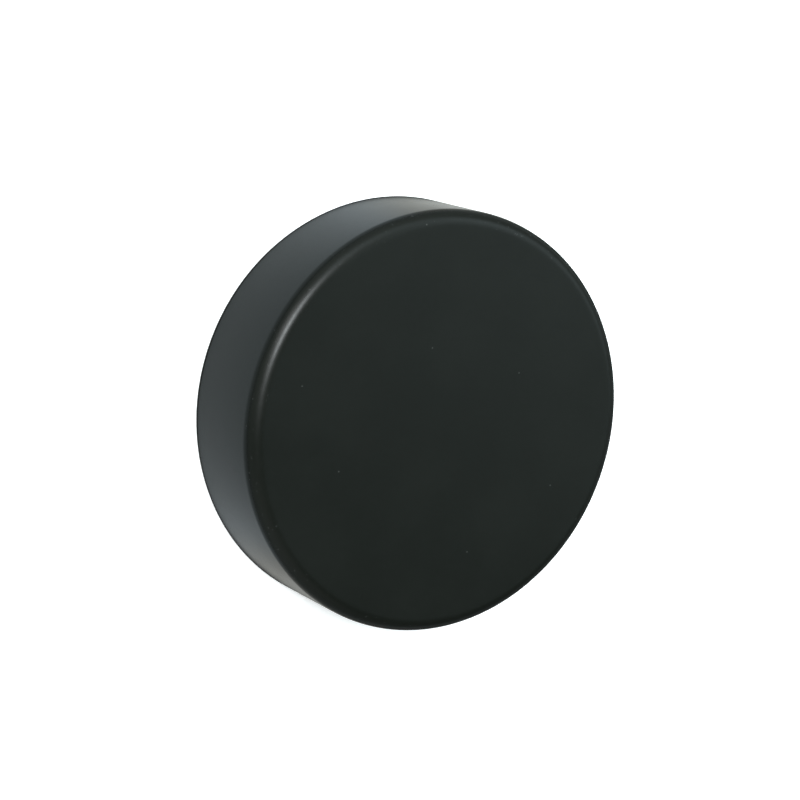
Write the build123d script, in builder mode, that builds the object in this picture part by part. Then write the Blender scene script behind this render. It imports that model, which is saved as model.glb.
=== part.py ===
from build123d import *
from math import radians, tan
import os

# Weighted dealer button: a plain moulded puck that marks the dealer at a card table.
# Units are millimetres. Z is the axis of the disc, Z = 0 is the table under the rubber
# foot, and the plain face is on top. It comes apart from below: foot and its adhesive,
# three screws, rear cover, rear cushion, weight, face cushion, and then the shell.

# ---- Driving dimensions ----
button_diameter = 76.2      # a 3 inch button, at its rear edge
button_thickness = 22.0     # from the table to the face
draft_angle = 0.5           # degrees, so that the moulded side wall leaves its cavity
face_edge_radius = 2.6      # the rounded edge around the face
rear_edge_radius = 1.4
side_wall = 3.2
face_wall = 2.4
cavity_corner_radius = 1.2

cover_plate = 2.6           # thickness of the rear cover, and depth of its rebate
rebate_ledge = 1.0          # width of the step that the cover sits on
cover_gap = 0.1             # all round, between the cover and its seat
seam_chamfer = 0.3          # on both sides of the seam around the cover

foot_diameter = 66.0
foot_thickness = 1.2
foot_proud = 0.4            # how far the foot lifts the shell off the table
foot_edge_radius = 0.35
foot_recess_gap = 0.3       # all round, between the foot and its recess in the cover
adhesive_thickness = 0.15
adhesive_inset = 0.2
groove_count = 4            # shallow rings in the foot's underside, for grip
groove_first_radius = 12.0
groove_pitch = 5.0
groove_radius = 0.35

weight_diameter = 46.0
weight_thickness = 6.0
weight_bore_radius = 4.6    # passes over the post inside the shell
weight_chamfer = 0.4
cushion_thickness = 2.0
post_radius = 4.2
post_core_radius = 2.6      # the post is cored, so that it leaves no sink mark on the face
post_depth = 9.4
pocket_gap = 0.4            # around the weight
pocket_wall = 1.6
pocket_depth = 9.2          # measured down from the inside of the face

screw_count = 3
screw_circle_radius = 28.5
screw_head_radius = 2.7
screw_head_height = 1.8
screw_head_gap = 0.25       # between the screw heads and the foot's adhesive
screw_length = 10.0         # under the head
thread_radius = 1.45
thread_core_radius = 1.05
thread_pitch = 1.1
plain_shank = 2.4           # under the head, through the cover
drive_slot_width = 0.7      # the cross recess in a screw head
drive_slot_length = 3.2
drive_depth = 1.1
boss_radius = 3.8
pilot_depth = 9.4
cover_boss_radius = 4.5
clearance_hole_radius = 1.65
counterbore_radius = 3.0
head_seat_depth = 1.8       # cover material between a screw head and the shell's boss

rib_count = 6
rib_thickness = 1.4
rib_depth = 7.0             # inside the shell
spigot_wall = 1.4           # low ring on the cover that centres it in the shell
spigot_height = 1.6
clamp_ring_radius = 16.6    # tall ring on the cover that presses on the rear cushion
clamp_ring_wall = 1.6

# ---- Levels above the table, and radii, worked out from the above ----
rim_z = foot_proud
face_z = button_thickness
ceiling_z = face_z - face_wall
ledge_z = rim_z + cover_plate
adhesive_top_z = foot_thickness + adhesive_thickness
head_z = adhesive_top_z + screw_head_gap
head_seat_z = head_z + screw_head_height
boss_end_z = head_seat_z + head_seat_depth
weight_top_z = ceiling_z - cushion_thickness
weight_base_z = weight_top_z - weight_thickness
clamp_z = weight_base_z - cushion_thickness

rear_radius = button_diameter / 2
face_radius = rear_radius - tan(radians(draft_angle)) * (face_z - rim_z)
cavity_radius = rear_radius - side_wall
cavity_top_radius = face_radius - side_wall
rebate_radius = cavity_radius + rebate_ledge
cover_radius = rebate_radius - cover_gap
spigot_radius = cavity_radius - cover_gap
pocket_radius = weight_diameter / 2 + pocket_gap
foot_recess_radius = foot_diameter / 2 + foot_recess_gap


def screw_axes():
    """The places on the screw circle, for a sketch or a part."""
    return PolarLocations(screw_circle_radius, screw_count, start_angle=90)


def export(part, name):
    """Label one finished piece and write it to its own STEP file."""
    part.label = name
    export_step(part, f"parts/{name}.step")


os.makedirs("parts", exist_ok=True)

# ---- Face shell: the face and the whole side wall, moulded in one ----
with BuildPart() as face_shell:
    with BuildSketch(Plane.XZ):
        with BuildLine():
            Polyline(
                (0, face_z),
                (face_radius, face_z),
                (rear_radius, rim_z),
                (rebate_radius, rim_z),
                (rebate_radius, ledge_z),
                (cavity_radius, ledge_z),
                (cavity_top_radius, ceiling_z),
                (0, ceiling_z),
                close=True,
            )
        make_face()
    revolve(axis=Axis.Z)
    turned_edges = face_shell.edges().filter_by(GeomType.CIRCLE).group_by(Axis.Z)
    rim_edges = turned_edges[0].sort_by(SortBy.RADIUS)
    fillet(turned_edges[-1], face_edge_radius)
    fillet(turned_edges[-2], cavity_corner_radius)
    fillet(rim_edges[-1], rear_edge_radius)
    chamfer(rim_edges[0], seam_chamfer)
    # The pocket wall and the cored post that hold the weight on centre.
    with BuildSketch(Plane.XY.offset(ceiling_z - pocket_depth)):
        Circle(pocket_radius + pocket_wall)
        Circle(pocket_radius, mode=Mode.SUBTRACT)
    extrude(amount=pocket_depth)
    with BuildSketch(Plane.XY.offset(ceiling_z - post_depth)):
        Circle(post_radius)
        Circle(post_core_radius, mode=Mode.SUBTRACT)
    extrude(amount=post_depth)
    # Radial ribs from the pocket wall to the side wall, every second one at a screw boss.
    rib_start = pocket_radius + pocket_wall / 2
    rib_end = cavity_top_radius + side_wall / 2
    with BuildSketch(Plane.XY.offset(ceiling_z - rib_depth)):
        with PolarLocations((rib_start + rib_end) / 2, rib_count, start_angle=30):
            Rectangle(rib_end - rib_start, rib_thickness)
    extrude(amount=rib_depth)
    with BuildSketch(Plane.XY.offset(boss_end_z)):
        with screw_axes():
            Circle(boss_radius)
    extrude(amount=ceiling_z - boss_end_z)
    with BuildSketch(Plane.XY.offset(boss_end_z)):
        with screw_axes():
            Circle(thread_radius)
    extrude(amount=pilot_depth, mode=Mode.SUBTRACT)
export(face_shell.part, "face_shell")

# ---- Rear cover: closes the shell, and its rings centre it and clamp the weight ----
with BuildPart() as rear_cover:
    with BuildSketch(Plane.XY.offset(rim_z)):
        Circle(cover_radius)
    extrude(amount=cover_plate)
    chamfer(rear_cover.edges().group_by(Axis.Z)[0], seam_chamfer)
    rib_start = clamp_ring_radius - clamp_ring_wall / 2
    rib_end = spigot_radius - spigot_wall / 2
    with BuildSketch(Plane.XY.offset(ledge_z)):
        Circle(spigot_radius)
        Circle(spigot_radius - spigot_wall, mode=Mode.SUBTRACT)
        with PolarLocations((rib_start + rib_end) / 2, rib_count):
            Rectangle(rib_end - rib_start, rib_thickness)
    extrude(amount=spigot_height)
    with BuildSketch(Plane.XY.offset(ledge_z)):
        Circle(clamp_ring_radius)
        Circle(clamp_ring_radius - clamp_ring_wall, mode=Mode.SUBTRACT)
    extrude(amount=clamp_z - ledge_z)
    with BuildSketch(Plane.XY.offset(ledge_z)):
        with screw_axes():
            Circle(cover_boss_radius)
    extrude(amount=boss_end_z - ledge_z)
    # The recess that the foot is bonded in, then the counterbored screw holes in its floor.
    with BuildSketch(Plane.XY.offset(rim_z)):
        Circle(foot_recess_radius)
    extrude(amount=adhesive_top_z - rim_z, mode=Mode.SUBTRACT)
    with BuildSketch(Plane.XY.offset(adhesive_top_z)):
        with screw_axes():
            Circle(counterbore_radius)
    extrude(amount=head_seat_z - adhesive_top_z, mode=Mode.SUBTRACT)
    with BuildSketch(Plane.XY.offset(head_seat_z)):
        with screw_axes():
            Circle(clearance_hole_radius)
    extrude(amount=head_seat_depth, mode=Mode.SUBTRACT)
export(rear_cover.part, "rear_cover")

# ---- Weight: a punched steel disc ----
with BuildPart() as weight_disc:
    with BuildSketch(Plane.XY.offset(weight_base_z)):
        Circle(weight_diameter / 2)
        Circle(weight_bore_radius, mode=Mode.SUBTRACT)
    extrude(amount=weight_thickness)
    chamfer(weight_disc.edges().filter_by(GeomType.CIRCLE), weight_chamfer)
export(weight_disc.part, "weight_disc")

# ---- Foam cushions above and below the weight, so that it can't rattle ----
for cushion_name, cushion_z in (("face_cushion", weight_top_z), ("rear_cushion", clamp_z)):
    with BuildPart() as cushion:
        with BuildSketch(Plane.XY.offset(cushion_z)):
            Circle(weight_diameter / 2)
            Circle(weight_bore_radius, mode=Mode.SUBTRACT)
        extrude(amount=cushion_thickness)
    export(cushion.part, cushion_name)

# ---- Cover screws: identical pan-head thread-forming screws, heads down ----
shoulder_z = head_z + screw_head_height / 2
thread_z = head_seat_z + plain_shank
tip_z = head_seat_z + screw_length
turns = int((tip_z - thread_z) / thread_pitch) - 1
thread_end_z = thread_z + turns * thread_pitch
thread_outline = []
for turn in range(turns):
    root_z = thread_z + turn * thread_pitch
    thread_outline.append((thread_core_radius, root_z))
    thread_outline.append((thread_radius, root_z + thread_pitch / 2))

with BuildPart() as cover_screws:
    with BuildSketch(Plane.XZ):
        with BuildLine():
            Polyline(
                (0, head_z),
                (screw_head_radius * 0.7, head_z),
                (screw_head_radius, shoulder_z),
                (screw_head_radius, head_seat_z),
                (thread_core_radius, head_seat_z),
                *thread_outline,
                (thread_core_radius, thread_end_z),
                (thread_core_radius / 2, tip_z),
                (0, tip_z),
                close=True,
            )
        make_face()
    one_screw = revolve(axis=Axis.Z, mode=Mode.PRIVATE)
    with screw_axes():
        add(one_screw)
    with BuildSketch(Plane.XY.offset(head_z)):
        with screw_axes():
            Rectangle(drive_slot_length, drive_slot_width)
            Rectangle(drive_slot_width, drive_slot_length)
    extrude(amount=drive_depth, mode=Mode.SUBTRACT)
export(cover_screws.part, "cover_screws")

# ---- Foot adhesive: a die-cut film between the foot and the cover ----
with BuildPart() as foot_adhesive:
    with BuildSketch(Plane.XY.offset(foot_thickness)):
        Circle(foot_diameter / 2 - adhesive_inset)
    extrude(amount=adhesive_thickness)
export(foot_adhesive.part, "foot_adhesive")

# ---- Rubber foot: the disc that the button rests on ----
with BuildPart() as rubber_foot:
    with BuildSketch():
        Circle(foot_diameter / 2)
    extrude(amount=foot_thickness)
    fillet(rubber_foot.edges().group_by(Axis.Z)[0], foot_edge_radius)
    with BuildSketch(Plane.XZ):
        for groove in range(groove_count):
            with Locations((groove_first_radius + groove * groove_pitch, 0)):
                Circle(groove_radius)
    revolve(axis=Axis.Z, mode=Mode.SUBTRACT)
export(rubber_foot.part, "rubber_foot")
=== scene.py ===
import math

import bmesh
import bpy
from mathutils import Matrix, Quaternion, Vector


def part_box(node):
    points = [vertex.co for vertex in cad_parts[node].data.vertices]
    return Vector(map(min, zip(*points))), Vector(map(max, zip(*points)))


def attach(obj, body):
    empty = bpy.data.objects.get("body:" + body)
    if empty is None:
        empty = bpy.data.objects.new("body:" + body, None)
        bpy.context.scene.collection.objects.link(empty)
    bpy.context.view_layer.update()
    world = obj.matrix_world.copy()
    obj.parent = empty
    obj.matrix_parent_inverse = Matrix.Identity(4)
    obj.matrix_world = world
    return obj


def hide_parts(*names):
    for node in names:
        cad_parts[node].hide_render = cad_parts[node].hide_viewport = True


# A weighted dealer button that lies flat on a pale floor, face up. The CAD frame holds every
# piece. The moulded shell and the two foam cushions are built here as finer meshes in the
# same places. Every other node keeps its CAD mesh, and each piece gets its own material.

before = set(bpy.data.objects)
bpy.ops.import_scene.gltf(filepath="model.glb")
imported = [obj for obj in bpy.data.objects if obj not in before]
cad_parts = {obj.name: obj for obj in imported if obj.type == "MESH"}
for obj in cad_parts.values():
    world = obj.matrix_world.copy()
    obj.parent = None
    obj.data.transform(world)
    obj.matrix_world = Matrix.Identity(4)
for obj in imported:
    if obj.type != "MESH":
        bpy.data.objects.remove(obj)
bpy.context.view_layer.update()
MM = 0.001

# ---- Camera: the photograph's view of the button ----
VIEW_ELEVATION = math.radians(57.47)   # above the table
VIEW_ROLL = math.radians(110.64)       # so that the button's axis points right and a little down
VIEW_DISTANCE = 0.4                    # from the lens to the middle of the side wall
VIEW_LENS = 100.1                      # mm, on a sensor 36 mm wide
DISC_RIGHT = 2.22 * MM                 # the disc's centre in the frame, off the lens's axis
DISC_DOWN = 2.39 * MM


def make_camera():
    low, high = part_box("face_shell")
    middle = (low + high) / 2
    back = Vector((0, -math.cos(VIEW_ELEVATION), math.sin(VIEW_ELEVATION)))
    turn = (-back).to_track_quat("-Z", "Y") @ Quaternion((0, 0, 1), VIEW_ROLL)
    right, up = turn @ Vector((1, 0, 0)), turn @ Vector((0, 1, 0))
    data = bpy.data.cameras.new("camera")
    data.lens = VIEW_LENS
    data.clip_start, data.clip_end = 0.01, 20
    camera = bpy.data.objects.new("camera", data)
    camera.rotation_mode = "QUATERNION"
    camera.rotation_quaternion = turn
    camera.location = middle + back * VIEW_DISTANCE - right * DISC_RIGHT + up * DISC_DOWN
    bpy.context.scene.collection.objects.link(camera)
    bpy.context.scene.camera = camera


# ---- Mesh tools. Outlines are lists of (radius, height) points in mm ----
SEGMENTS = 256               # around the button's axis
CUSHION_SEGMENTS = 160
BOSS_SEGMENTS = 64
HOLE_SEGMENTS = 48
SHARP_ANGLE = 30             # degrees between two faces, past which their edge is shaded sharp
GUARD = 0.4                  # from a round stretch to a point that keeps its shading off the flat
WELD = 0.001                 # points closer than this are merged


def arc(centre, radius, start, end, steps):
    """Points along an arc of an outline. The angles are in degrees, and 90 points up."""
    points = []
    for step in range(steps + 1):
        angle = math.radians(start + (end - start) * step / steps)
        points.append((centre[0] + radius * math.cos(angle), centre[1] + radius * math.sin(angle)))
    return points


def add_piece(name, shape):
    """Turn a bmesh into an object with smooth shading between its sharp edges."""
    bmesh.ops.recalc_face_normals(shape, faces=shape.faces)
    mesh = bpy.data.meshes.new(name)
    shape.to_mesh(mesh)
    shape.free()
    shade(mesh)
    piece = bpy.data.objects.new(name, mesh)
    bpy.context.scene.collection.objects.link(piece)
    return piece


def shade(mesh):
    mesh.shade_smooth()
    mesh.set_sharp_from_angle(angle=math.radians(SHARP_ANGLE))


def turn_outline(shape, outline, axis_at=(0.0, 0.0), segments=SEGMENTS):
    """Add a turned mesh to a bmesh, about the vertical line through axis_at.

    An outline that stays clear of the axis is closed into a ring. One that starts on the axis
    makes a solid if it also ends there, and otherwise an open disc."""
    rings = []
    for radius, height in outline:
        count = segments if radius > 0 else 1
        ring = []
        for i in range(count):
            angle = math.tau * i / segments
            x = axis_at[0] + radius * math.cos(angle)
            y = axis_at[1] + radius * math.sin(angle)
            ring.append(shape.verts.new((x * MM, y * MM, height * MM)))
        rings.append(ring)
    neighbours = list(zip(rings, rings[1:]))
    if len(rings[0]) > 1:
        neighbours.append((rings[-1], rings[0]))
    for one, other in neighbours:
        for i in range(segments):
            j = (i + 1) % segments
            corners = [one[i % len(one)], one[j % len(one)]]
            corners += [other[j % len(other)], other[i % len(other)]]
            # Without its repeats, this is a triangle where a ring is a single point.
            shape.faces.new(dict.fromkeys(corners))


def cylinder(radius, base, top):
    """The outline of a plain cylinder."""
    return [(0, base), (radius, base), (radius, top), (0, top)]


def around(radius, degrees):
    """The place on a circle about the button's axis, in mm."""
    angle = math.radians(degrees)
    return radius * math.cos(angle), radius * math.sin(angle)


def combine(piece, tool, operation):
    """Join a tool object to a piece, or cut it away, and remove the tool."""
    modifier = piece.modifiers.new("combine", "BOOLEAN")
    modifier.operation = operation
    modifier.solver = "EXACT"
    modifier.object = tool
    graph = bpy.context.evaluated_depsgraph_get()
    mesh = bpy.data.meshes.new_from_object(piece.evaluated_get(graph))
    piece.modifiers.clear()
    piece.data = mesh
    bpy.data.objects.remove(tool)


def weld(mesh):
    """Merge the points that a boolean leaves in one place, and drop the faces that this flattens."""
    shape = bmesh.new()
    shape.from_mesh(mesh)
    bmesh.ops.remove_doubles(shape, verts=shape.verts, dist=WELD * MM)
    bmesh.ops.dissolve_degenerate(shape, edges=shape.edges, dist=WELD * MM)
    shape.to_mesh(mesh)
    shape.free()


# ---- The moulded shell, in mm ----
REAR_RADIUS = 38.1           # where the side wall would meet a sharp rear edge
FACE_EDGE_RADIUS = 2.6
REAR_EDGE_RADIUS = 1.4
DRAFT = 0.5                  # degrees, on the side wall
SIDE_WALL = 3.2
FACE_WALL = 2.4
CAVITY_CORNER_RADIUS = 1.2
COVER_PLATE = 2.6            # the depth of the rebate that the cover sits in
REBATE_LEDGE = 1.0
SEAM_CHAMFER = 0.3
POCKET_RADIUS = 23.4         # the ring around the weight
POCKET_WALL = 1.6
POCKET_DEPTH = 9.2
POST_RADIUS = 4.2            # the cored post through the weight
POST_CORE_RADIUS = 2.6
POST_DEPTH = 9.4
END_ROUNDING = 0.2           # on the free ends of the pocket ring, the post and the bosses
SCREW_CIRCLE_RADIUS = 28.5
SCREW_ANGLES = (90, 210, 330)
BOSS_RADIUS = 3.8
BOSS_END = 5.2               # above the table
PILOT_RADIUS = 1.45
PILOT_DEPTH = 9.4
RIB_ANGLES = range(30, 390, 60)
HALF_RIB_PITCH = 30          # degrees
RIB_THICKNESS = 1.4
RIB_DEPTH = 7.0
ROOT = 0.5                   # how far a rib, boss or cutter runs past the face where it starts
EJECTOR_RADIUS = 1.75        # marks of the mould's ejector pins, inside, between the ribs
EJECTOR_CIRCLE_RADIUS = 30.0
EJECTOR_DEPTH = 0.15


def shell_outline():
    """The turned part of the shell, with the height of its ceiling and the radius of its cavity."""
    low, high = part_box("face_shell")
    rim, face = low.z / MM, high.z / MM
    slope = math.tan(math.radians(DRAFT))
    lean = 1 / math.cos(math.radians(DRAFT))
    ceiling = face - FACE_WALL
    ledge = rim + COVER_PLATE

    def wall(height):
        return REAR_RADIUS - slope * (height - rim)

    face_edge = face - FACE_EDGE_RADIUS
    rear_edge = rim + REAR_EDGE_RADIUS
    cavity = REAR_RADIUS - SIDE_WALL
    rebate = cavity + REBATE_LEDGE
    corner = ceiling - CAVITY_CORNER_RADIUS
    cavity_top = wall(corner) - SIDE_WALL
    ring_end = ceiling - POCKET_DEPTH
    post_end = ceiling - POST_DEPTH
    flat_radius = wall(face_edge) - FACE_EDGE_RADIUS * lean
    outline = [(0, face), (flat_radius - GUARD, face)]
    outline += arc((flat_radius, face_edge), FACE_EDGE_RADIUS, 90, DRAFT, 20)
    outline += [(wall(height), height) for height in (face_edge - GUARD, rear_edge + GUARD)]
    rear_centre = (wall(rear_edge) - REAR_EDGE_RADIUS * lean, rear_edge)
    outline += arc(rear_centre, REAR_EDGE_RADIUS, DRAFT, -90, 12)
    outline += [(rebate + SEAM_CHAMFER, rim), (rebate, rim + SEAM_CHAMFER)]
    outline += [(rebate, ledge), (cavity, ledge)]
    outline += arc((cavity_top - CAVITY_CORNER_RADIUS, corner), CAVITY_CORNER_RADIUS, DRAFT, 90, 6)
    for outer, inner, end in (
        (POCKET_RADIUS + POCKET_WALL, POCKET_RADIUS, ring_end),
        (POST_RADIUS, POST_CORE_RADIUS, post_end),
    ):
        outline.append((outer, ceiling))
        outline += arc((outer - END_ROUNDING, end + END_ROUNDING), END_ROUNDING, 0, -90, 3)
        outline += arc((inner + END_ROUNDING, end + END_ROUNDING), END_ROUNDING, -90, -180, 3)
        outline.append((inner, ceiling))
    outline.append((0, ceiling))
    return outline, ceiling, cavity


def make_shell():
    outline, ceiling, cavity = shell_outline()
    shape = bmesh.new()
    turn_outline(shape, outline)
    shell = add_piece("face_shell_moulding", shape)

    ribs = bmesh.new()
    rib_start = POCKET_RADIUS + POCKET_WALL / 2
    rib_end = cavity + ROOT
    rib_size = Vector((rib_end - rib_start, RIB_THICKNESS, RIB_DEPTH + ROOT)) * MM
    rib_centre = Vector(((rib_start + rib_end) / 2, 0, ceiling - (RIB_DEPTH - ROOT) / 2)) * MM
    for degrees in RIB_ANGLES:
        turned = Matrix.Rotation(math.radians(degrees), 4, "Z")
        place = turned @ Matrix.Translation(rib_centre) @ Matrix.Diagonal(rib_size).to_4x4()
        bmesh.ops.create_cube(ribs, size=1, matrix=place)
    combine(shell, add_piece("ribs", ribs), "UNION")

    bosses = bmesh.new()
    top = ceiling + ROOT
    boss = [(0, BOSS_END)]
    boss += arc((BOSS_RADIUS - END_ROUNDING, BOSS_END + END_ROUNDING), END_ROUNDING, -90, 0, 3)
    boss += [(BOSS_RADIUS, top), (0, top)]
    for degrees in SCREW_ANGLES:
        turn_outline(bosses, boss, around(SCREW_CIRCLE_RADIUS, degrees), BOSS_SEGMENTS)
    combine(shell, add_piece("bosses", bosses), "UNION")

    holes = bmesh.new()
    pilot = cylinder(PILOT_RADIUS, BOSS_END - ROOT, BOSS_END + PILOT_DEPTH)
    for degrees in SCREW_ANGLES:
        turn_outline(holes, pilot, around(SCREW_CIRCLE_RADIUS, degrees), HOLE_SEGMENTS)
    mark = cylinder(EJECTOR_RADIUS, ceiling - ROOT, ceiling + EJECTOR_DEPTH)
    for degrees in RIB_ANGLES:
        between_ribs = around(EJECTOR_CIRCLE_RADIUS, degrees + HALF_RIB_PITCH)
        turn_outline(holes, mark, between_ribs, HOLE_SEGMENTS)
    combine(shell, add_piece("holes", holes), "DIFFERENCE")

    weld(shell.data)
    shade(shell.data)
    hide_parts("face_shell")
    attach(shell, "root")
    return shell


# ---- The foam cushions, in mm ----
CUSHION_BORE = 4.6
CUSHION_BULGE = 0.28         # how far a clamped cushion swells past its cut edge
CUSHION_ROUNDING = 0.3


def make_cushion(node):
    """A die-cut foam ring, flat where it is clamped, and swollen at its rim and its bore."""
    low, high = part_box(node)
    base, top, rim = low.z / MM, high.z / MM, high.x / MM
    middle = (base + top) / 2
    half = (top - base) / 2
    # From near -1 at the base to near 1 at the top, closer together towards both.
    levels = [math.sin(math.radians(angle)) for angle in range(-75, 90, 15)]

    def swell(level):
        return CUSHION_BULGE * (1 - level**2) - CUSHION_ROUNDING * level**6

    outline = [(rim + swell(level), middle + half * level) for level in levels]
    outer, inner = rim - CUSHION_ROUNDING, CUSHION_BORE + CUSHION_ROUNDING
    outline += [(radius, top) for radius in (outer, outer - GUARD, inner + GUARD, inner)]
    outline += [(CUSHION_BORE - swell(level), middle + half * level) for level in reversed(levels)]
    outline += [(radius, base) for radius in (inner, inner + GUARD, outer - GUARD, outer)]
    shape = bmesh.new()
    turn_outline(shape, outline, segments=CUSHION_SEGMENTS)
    cushion = add_piece(node + "_foam", shape)
    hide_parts(node)
    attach(cushion, "root")
    return cushion


# ---- Materials ----
def set_range(node, low, high, to_low, to_high):
    """Fill in a Map Range node."""
    for key, number in zip(("From Min", "From Max", "To Min", "To Max"), (low, high, to_low, to_high)):
        node.inputs[key].default_value = number


class Nodes:
    """A material's node tree, with short calls for the nodes that the materials share."""

    def __init__(self, name):
        self.material = bpy.data.materials.new(name)
        self.material.use_nodes = True
        self.tree = self.material.node_tree
        self.shader = self.tree.nodes["Principled BSDF"]
        self.place = self.new("ShaderNodeTexCoord").outputs["Object"]
        split = self.new("ShaderNodeSeparateXYZ")
        self.link(self.place, split.inputs["Vector"])
        self.x, self.y, self.z = split.outputs

    def new(self, kind, **settings):
        node = self.tree.nodes.new(kind)
        for key, value in settings.items():
            setattr(node, key, value)
        return node

    def link(self, source, target):
        self.tree.links.new(source, target)

    def drive(self, socket, source):
        """Feed one of the shader's sockets."""
        self.link(source, self.shader.inputs[socket])

    def fix(self, **values):
        """Set sockets of the shader that are the same all over, such as Metallic."""
        for socket, value in values.items():
            self.shader.inputs[socket.replace("_", " ")].default_value = value

    def scaled(self, size_mm, stretch, turn):
        mapping = self.new("ShaderNodeMapping")
        mapping.inputs["Scale"].default_value = [factor / (size_mm * MM) for factor in stretch]
        mapping.inputs["Rotation"].default_value = (0, 0, math.radians(turn))
        self.link(self.place, mapping.inputs["Vector"])
        return mapping.outputs["Vector"]

    def noise(self, size_mm, detail=2.0, roughness=0.5, stretch=(1, 1, 1), turn=0):
        """Noise whose features are about size_mm across."""
        node = self.new("ShaderNodeTexNoise")
        node.inputs["Scale"].default_value = 1.0
        node.inputs["Detail"].default_value = detail
        node.inputs["Roughness"].default_value = roughness
        self.link(self.scaled(size_mm, stretch, turn), node.inputs["Vector"])
        return node.outputs["Fac"]

    def cells(self, size_mm, dimensions="3D"):
        """Distance from the nearest of many scattered points, size_mm apart, in units of size_mm."""
        node = self.new("ShaderNodeTexVoronoi", voronoi_dimensions=dimensions)
        node.inputs["Scale"].default_value = 1.0
        self.link(self.scaled(size_mm, (1, 1, 1), 0), node.inputs["Vector"])
        return node.outputs["Distance"]

    def math(self, operation, a, b=0.0):
        node = self.new("ShaderNodeMath", operation=operation)
        for socket, value in zip(node.inputs, (a, b)):
            if isinstance(value, (int, float)):
                socket.default_value = value
            else:
                self.link(value, socket)
        return node.outputs["Value"]

    def spread(self, value, low, high, to_low=0.0, to_high=1.0):
        """The range low to high of a value, mapped smoothly to to_low to to_high."""
        node = self.new("ShaderNodeMapRange", interpolation_type="SMOOTHSTEP")
        set_range(node, low, high, to_low, to_high)
        self.link(value, node.inputs["Value"])
        return node.outputs["Result"]

    def spread_mm(self, value, low, high):
        """The range low to high in mm of a length in metres, mapped smoothly to 0 to 1."""
        return self.spread(value, low * MM, high * MM)

    def facing(self):
        """0 where the surface faces the eye, and 1 where it is seen edge on."""
        node = self.new("ShaderNodeLayerWeight")
        node.inputs["Blend"].default_value = 0.5
        return node.outputs["Facing"]

    def radius(self):
        """Distance from the button's axis, in metres."""
        x_squared = self.math("MULTIPLY", self.x, self.x)
        y_squared = self.math("MULTIPLY", self.y, self.y)
        return self.math("SQRT", self.math("ADD", x_squared, y_squared))

    def mix(self, share, a, b):
        node = self.new("ShaderNodeMix", data_type="RGBA")
        self.link(share, node.inputs["Factor"])
        for key, colour in (("A", a), ("B", b)):
            socket = [s for s in node.inputs if s.name == key and s.type == "RGBA"][0]
            if isinstance(colour, tuple):
                socket.default_value = (*colour, 1)
            else:
                self.link(colour, socket)
        return [s for s in node.outputs if s.type == "RGBA"][0]

    def bump(self, height, depth_mm, under=None):
        node = self.new("ShaderNodeBump")
        node.inputs["Strength"].default_value = 1.0
        node.inputs["Distance"].default_value = depth_mm * MM
        self.link(height, node.inputs["Height"])
        if under is not None:
            self.link(under, node.inputs["Normal"])
        return node.outputs["Normal"]


def shell_plastic():
    """Satin black moulded plastic: a grained face, a smoother wall, and a few dust specks."""
    n = Nodes("shell_plastic")
    low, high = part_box("face_shell")
    radius = n.radius()
    # Greatest on the rounded edge: how far radius and height together are past its start.
    past_edge = n.math("ADD", radius, n.z)
    edge_start = high.x + high.z - 1.2 * FACE_EDGE_RADIUS * MM
    on_edge = n.spread(past_edge, edge_start, edge_start + 0.6 * FACE_EDGE_RADIUS * MM)
    on_face = n.spread(n.z, high.z - 0.3 * MM, high.z - 0.05 * MM)
    on_wall = n.spread(n.z, high.z - 0.9 * MM, high.z - 2.3 * MM)
    clouds = n.noise(16, 3)
    patches = n.noise(4.5, 2)
    mottle = n.noise(0.9, 3, 0.6)
    # Fine hairlines that handling leaves, in two directions.
    hairs = n.math(
        "MAXIMUM",
        n.spread(n.noise(0.35, 1, stretch=(1, 0.03, 1), turn=35), 0.70, 0.78),
        n.spread(n.noise(0.35, 1, stretch=(1, 0.03, 1), turn=-50), 0.71, 0.79),
    )
    nicks = n.math("MULTIPLY", on_edge, n.spread(n.noise(0.7, 2, 0.6), 0.66, 0.76))
    near_speck = n.math("MULTIPLY", n.spread(n.cells(23, "2D"), 0.0075, 0.0030), on_face)
    plastic = n.mix(n.spread(clouds, 0.35, 0.65), (0.0030, 0.0040, 0.0028), (0.0038, 0.0049, 0.0036))
    scuffed = n.mix(nicks, plastic, (0.030, 0.032, 0.031))
    n.drive("Base Color", n.mix(near_speck, scuffed, (0.045, 0.048, 0.045)))
    rough = n.spread(clouds, 0.3, 0.7, 0.38, 0.40)
    rough = n.math("ADD", rough, n.spread(mottle, 0.3, 0.7, 0.0, 0.03))
    rough = n.math("ADD", rough, n.spread(patches, 0.35, 0.7, 0.0, 0.02))
    smoother_edge = n.spread(patches, 0.3, 0.7, 0.055, 0.085)
    rough = n.math("SUBTRACT", rough, n.math("MULTIPLY", on_edge, smoother_edge))
    smoother_wall = n.spread(n.z, 4 * MM, 19 * MM, 0.22, 0.28)
    rough = n.math("SUBTRACT", rough, n.math("MULTIPLY", on_wall, smoother_wall))
    rough = n.math("ADD", rough, n.math("MULTIPLY", hairs, 0.06))
    rough = n.math("ADD", rough, n.math("MULTIPLY", nicks, 0.12))
    # The grain dulls the rounded edge where it turns away from the eye.
    turned_away = n.spread(n.facing(), 0.45, 0.75)
    grained = n.spread(n.z, high.z - 1.8 * MM, high.z - 1.4 * MM)
    dull = n.math("MULTIPLY", turned_away, grained)
    n.drive("Roughness", n.math("ADD", rough, n.math("MULTIPLY", dull, 0.35)))
    fine = n.math("MULTIPLY", n.noise(0.2, 2, 0.6), n.spread(on_wall, 0.0, 1.0, 1.0, 0.5))
    grain = n.bump(mottle, 0.0070, under=n.bump(fine, 0.004))
    n.drive("Normal", n.bump(n.noise(7, 2), 0.010, under=grain))
    n.fix(Specular_IOR_Level=0.20)
    return n.material


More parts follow.
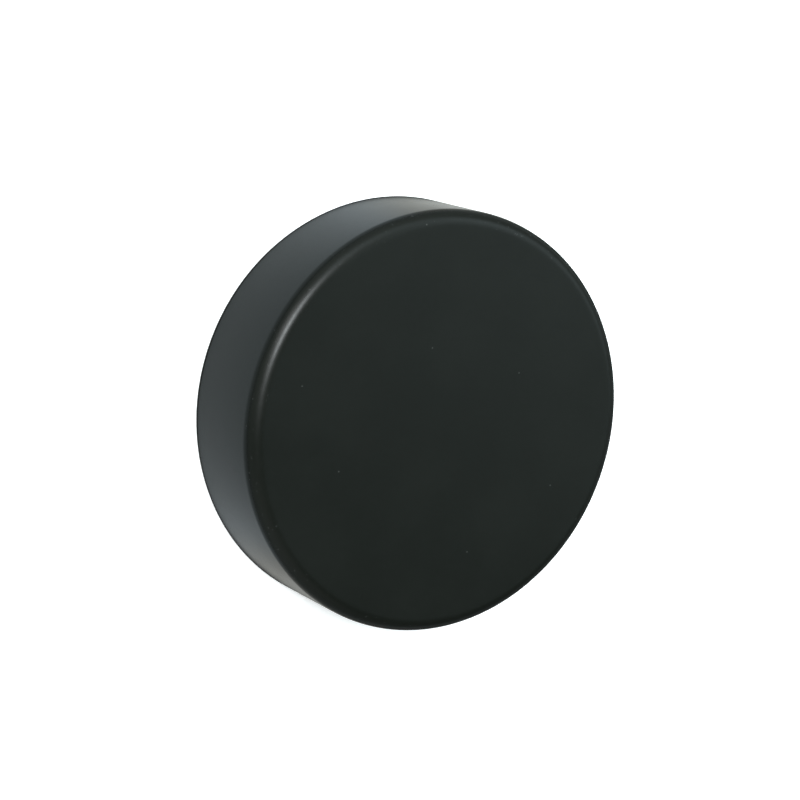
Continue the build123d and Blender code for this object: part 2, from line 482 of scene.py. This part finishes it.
def cover_plastic():
    """The same plastic with the coarser grain of a part that isn't seen."""
    n = Nodes("cover_plastic")
    clouds = n.noise(11, 3)
    flow = n.noise(5, 2, stretch=(1, 0.25, 1), turn=20)
    plastic = n.mix(n.spread(clouds, 0.35, 0.65), (0.0100, 0.0105, 0.0105), (0.0150, 0.0155, 0.0150))
    n.drive("Base Color", plastic)
    rough = n.spread(clouds, 0.3, 0.7, 0.46, 0.54)
    n.drive("Roughness", n.math("ADD", rough, n.spread(flow, 0.4, 0.7, 0.0, 0.05)))
    n.drive("Normal", n.bump(n.noise(0.35, 3, 0.6), 0.012))
    n.fix(Specular_IOR_Level=0.35)
    return n.material


def punched_steel():
    """Mild steel strip: rolling lines one way, an oily bloom, and a bright sheared edge."""
    n = Nodes("weight_steel")
    low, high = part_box("weight_disc")
    lines = n.noise(0.25, 3, 0.6, stretch=(0.02, 1, 1))
    bloom = n.noise(9, 4, 0.6)
    sheared = n.spread(n.radius(), high.x - 0.5 * MM, high.x - 0.1 * MM)
    steel = n.mix(n.spread(lines, 0.3, 0.7), (0.40, 0.39, 0.37), (0.52, 0.52, 0.51))
    oiled = n.mix(n.spread(bloom, 0.5, 0.72), steel, (0.33, 0.29, 0.24))
    n.drive("Base Color", n.mix(sheared, oiled, (0.58, 0.58, 0.57)))
    rough = n.spread(lines, 0.3, 0.7, 0.30, 0.42)
    n.drive("Roughness", n.math("ADD", rough, n.spread(bloom, 0.4, 0.7, 0.0, 0.10)))
    n.drive("Normal", n.bump(lines, 0.004))
    n.fix(Metallic=1.0)
    return n.material


def zinc_plate():
    """Bright zinc plate, slightly blue, with dull and yellowed patches."""
    n = Nodes("screw_steel")
    patches = n.noise(1.2, 3)
    zinc = n.mix(n.spread(patches, 0.4, 0.65), (0.62, 0.64, 0.66), (0.55, 0.53, 0.46))
    n.drive("Base Color", zinc)
    n.drive("Roughness", n.spread(n.noise(0.4, 2), 0.3, 0.7, 0.22, 0.36))
    n.drive("Normal", n.bump(n.noise(0.12, 2), 0.003))
    n.fix(Metallic=1.0)
    return n.material


def closed_cell_foam():
    """Dark grey foam sheet: rounded cells of several sizes, with painted shade in their hollows, and
    no gloss.
    """
    n = Nodes("cushion_foam")
    cells = n.cells(0.45)
    fine = n.cells(0.2)
    clouds = n.noise(5, 2)
    skin = n.mix(n.spread(clouds, 0.35, 0.65), (0.045, 0.045, 0.046), (0.070, 0.070, 0.070))
    # Painted shade: the hollows of the cells are painted darker.
    n.drive("Base Color", n.mix(n.spread(cells, 0.05, 0.35, 1.0, 0.0), skin, (0.020, 0.020, 0.021)))
    n.drive("Roughness", n.spread(fine, 0.1, 0.6, 0.95, 0.82))
    n.drive("Normal", n.bump(fine, 0.05, under=n.bump(cells, 0.12)))
    n.fix(Specular_IOR_Level=0.25, Sheen_Weight=0.15, Sheen_Roughness=0.5)
    return n.material


def double_sided_film():
    """Milky adhesive film with fine ripples and a few trapped bubbles."""
    n = Nodes("adhesive_film")
    clouds = n.noise(6, 3)
    bubbles = n.spread(n.cells(5), 0.12, 0.08)
    film = n.mix(n.spread(clouds, 0.35, 0.65), (0.70, 0.68, 0.62), (0.80, 0.79, 0.75))
    n.drive("Base Color", n.mix(bubbles, film, (0.88, 0.88, 0.86)))
    n.drive("Roughness", n.spread(clouds, 0.3, 0.7, 0.25, 0.42))
    n.drive("Normal", n.bump(n.noise(1.5, 2, stretch=(1, 0.3, 1), turn=15), 0.02))
    return n.material


def foot_rubber():
    """Matte rubber with a pale bloom, polished a little where it rubs on the table."""
    n = Nodes("foot_rubber")
    low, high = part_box("rubber_foot")
    bloom = n.noise(8, 4, 0.6)
    lint = n.spread(n.noise(0.5, 2, 0.6), 0.62, 0.74)
    underside = n.spread(n.z, low.z + 0.12 * MM, low.z + 0.02 * MM)
    rubber = n.mix(n.spread(bloom, 0.4, 0.7), (0.018, 0.018, 0.017), (0.034, 0.033, 0.031))
    n.drive("Base Color", n.mix(n.math("MULTIPLY", lint, 0.5), rubber, (0.075, 0.073, 0.068)))
    rough = n.spread(bloom, 0.3, 0.7, 0.66, 0.80)
    n.drive("Roughness", n.math("SUBTRACT", rough, n.math("MULTIPLY", underside, 0.12)))
    n.drive("Normal", n.bump(n.noise(0.18, 3, 0.65), 0.014))
    n.fix(Specular_IOR_Level=0.35)
    return n.material


def dress(piece, material):
    piece.data.materials.clear()
    piece.data.materials.append(material)


# ---- Stage: a plain pale floor and soft studio light ----
# The floor's radii and places are in mm.
FLOOR_RADIUS = 900
FLOOR_LEVEL = -0.02          # so that the floor and the underside of the foot aren't one surface
PAINTED_SHADOW_RADIUS = 37.4            # inside it, the floor under the rounded rear edge is painted dark: a painted contact shadow
PAINTED_SHADOW_BLUR = 0.2
# The table that the button reflects changes its tone over these stretches: three of the radius, and
# one of Y, past which it is less blue. These tones are painted light and shade, seen only in
# reflections.
# A painted shadow: inside this ring the reflected table is painted near black, and the rounded rear
# edge mirrors it.
REFLECTED_SHADOW_RING = (38.5, 39.3)
NEAR_RING = (38, 54)
FAR_RING = (60, 130)
BEHIND = (-25, -10)
CAMERA_GLOW = 0.36           # of the floor, for the camera only, so that it is pure white there
COOL = (0.95, 1.0, 1.02)     # colours of light
BLUISH = (0.83, 1.0, 1.06)


def make_floor():
    shape = bmesh.new()
    turn_outline(shape, [(0, FLOOR_LEVEL), (FLOOR_RADIUS, FLOOR_LEVEL)])
    floor = add_piece("floor", shape)
    n = Nodes("floor")
    radius = n.radius()
    # White to look at, apart from a painted contact shadow under the rounded rear edge, which is
    # painted near black.
    looked_at = n.new("ShaderNodeLightPath").outputs["Is Camera Ray"]
    unshadowed_floor = n.spread_mm(radius, PAINTED_SHADOW_RADIUS, PAINTED_SHADOW_RADIUS + PAINTED_SHADOW_BLUR)
    white = n.mix(unshadowed_floor, (0.005, 0.005, 0.005), (0.96, 0.96, 0.96))
    # The button reflects a dimmer table, painted as a pool of light that gets darker outwards, with a
    # painted bluish tint in front.
    behind = n.spread_mm(n.y, *BEHIND)
    beside = n.mix(behind, (0.50, 0.525, 0.545), (0.421, 0.408, 0.382))
    # Painted shadow: the table is near black under the rounded rear edge, which reflects it.
    beside_with_painted_shadow = n.mix(n.spread_mm(radius, *REFLECTED_SHADOW_RING), (0.02, 0.02, 0.02), beside)
    lit = n.mix(behind, (0.355, 0.38, 0.40), (0.300, 0.292, 0.274))
    near = n.mix(n.spread_mm(radius, *NEAR_RING), beside_with_painted_shadow, lit)
    table = n.mix(n.spread_mm(radius, *FAR_RING), near, (0.19, 0.20, 0.21))
    n.drive("Base Color", n.mix(looked_at, table, white))
    # The floor glows for the camera everywhere except in the painted shadow.
    seen_unshadowed = n.math("MULTIPLY", looked_at, unshadowed_floor)
    n.drive("Emission Strength", n.math("MULTIPLY", seen_unshadowed, CAMERA_GLOW))
    n.fix(Emission_Color=(1, 1, 1, 1), Roughness=0.9)
    dress(floor, n.material)


def soft_light(name, direction, distance, size, power, colour=(1, 1, 1), shadow=True):
    """A rectangular softbox that faces the button. The direction is from the button to it."""
    data = bpy.data.lights.new(name, "AREA")
    data.shape = "RECTANGLE"
    data.size, data.size_y = size
    data.energy = power
    data.color = colour
    data.use_shadow = shadow
    light = bpy.data.objects.new(name, data)
    light.location = Vector(direction).normalized() * distance
    light.rotation_mode = "QUATERNION"
    light.rotation_quaternion = (-light.location).to_track_quat("-Z", "Y")
    bpy.context.scene.collection.objects.link(light)


def make_world():
    """A dim studio, and a white backdrop past the floor for the camera.

    The studio is brightest towards -X, and a little brighter far to the +X side and low in front."""
    world = bpy.data.worlds.new("studio")
    world.use_nodes = True
    bpy.context.scene.world = world
    tree = world.node_tree
    split = tree.nodes.new("ShaderNodeSeparateXYZ")
    tree.links.new(tree.nodes.new("ShaderNodeTexCoord").outputs["Generated"], split.inputs["Vector"])

    def ramp(axis, start, end, low, high):
        node = tree.nodes.new("ShaderNodeMapRange")
        set_range(node, start, end, low, high)
        tree.links.new(split.outputs[axis], node.inputs["Value"])
        return node.outputs["Result"]

    def join(operation, a, b):
        node = tree.nodes.new("ShaderNodeMath")
        node.operation = operation
        tree.links.new(a, node.inputs[0])
        tree.links.new(b, node.inputs[1])
        return node.outputs["Value"]

    side = ramp("X", -0.5, 0.5, 0.44, 0.11)
    far_side = ramp("X", 0.5, 0.9, 0.0, 0.16)
    front = join("MULTIPLY", ramp("Y", -0.1, 0.5, 0.5, 0.0), ramp("Z", 0.3, 0.8, 1.0, 0.0))
    dim = tree.nodes["Background"]
    dim.inputs["Color"].default_value = (0.89, 0.98, 0.95, 1)
    tree.links.new(join("ADD", join("ADD", side, far_side), front), dim.inputs["Strength"])
    pale = tree.nodes.new("ShaderNodeBackground")
    pale.inputs["Color"].default_value = (1, 1, 1, 1)
    choose = tree.nodes.new("ShaderNodeMixShader")
    seen = tree.nodes.new("ShaderNodeLightPath")
    tree.links.new(seen.outputs["Is Camera Ray"], choose.inputs["Fac"])
    tree.links.new(dim.outputs["Background"], choose.inputs[1])
    tree.links.new(pale.outputs["Background"], choose.inputs[2])
    tree.links.new(choose.outputs["Shader"], tree.nodes["World Output"].inputs["Surface"])


make_camera()
dress(make_shell(), shell_plastic())
foam = closed_cell_foam()
for name in ("face_cushion", "rear_cushion"):
    dress(make_cushion(name), foam)
for name, material in (
    ("rear_cover", cover_plastic()),
    ("weight_disc", punched_steel()),
    ("cover_screws", zinc_plate()),
    ("foot_adhesive", double_sided_film()),
    ("rubber_foot", foot_rubber()),
):
    dress(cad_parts[name], material)
make_floor()
make_world()
# Direction, then distance and size in metres, and power in watts.
soft_light("key", (-0.182, -0.493, 0.851), 2.4, (0.65, 0.65), 68, COOL)
soft_light("fill", (-0.23, -0.79, 0.57), 1.0, (0.25, 0.4), 1.9, shadow=False)
soft_light("back", (-0.40, 0.56, 0.725), 0.9, (0.6, 0.6), 2.1, BLUISH, shadow=False)
soft_light("left", (-0.72, -0.03, 0.69), 1.0, (1.3, 0.4), 3.0, BLUISH, shadow=False)
soft_light("right", (0.72, 0.0, 0.69), 1.0, (1.0, 0.6), 0.65, shadow=False)
bpy.context.scene.view_settings.view_transform = "Standard"
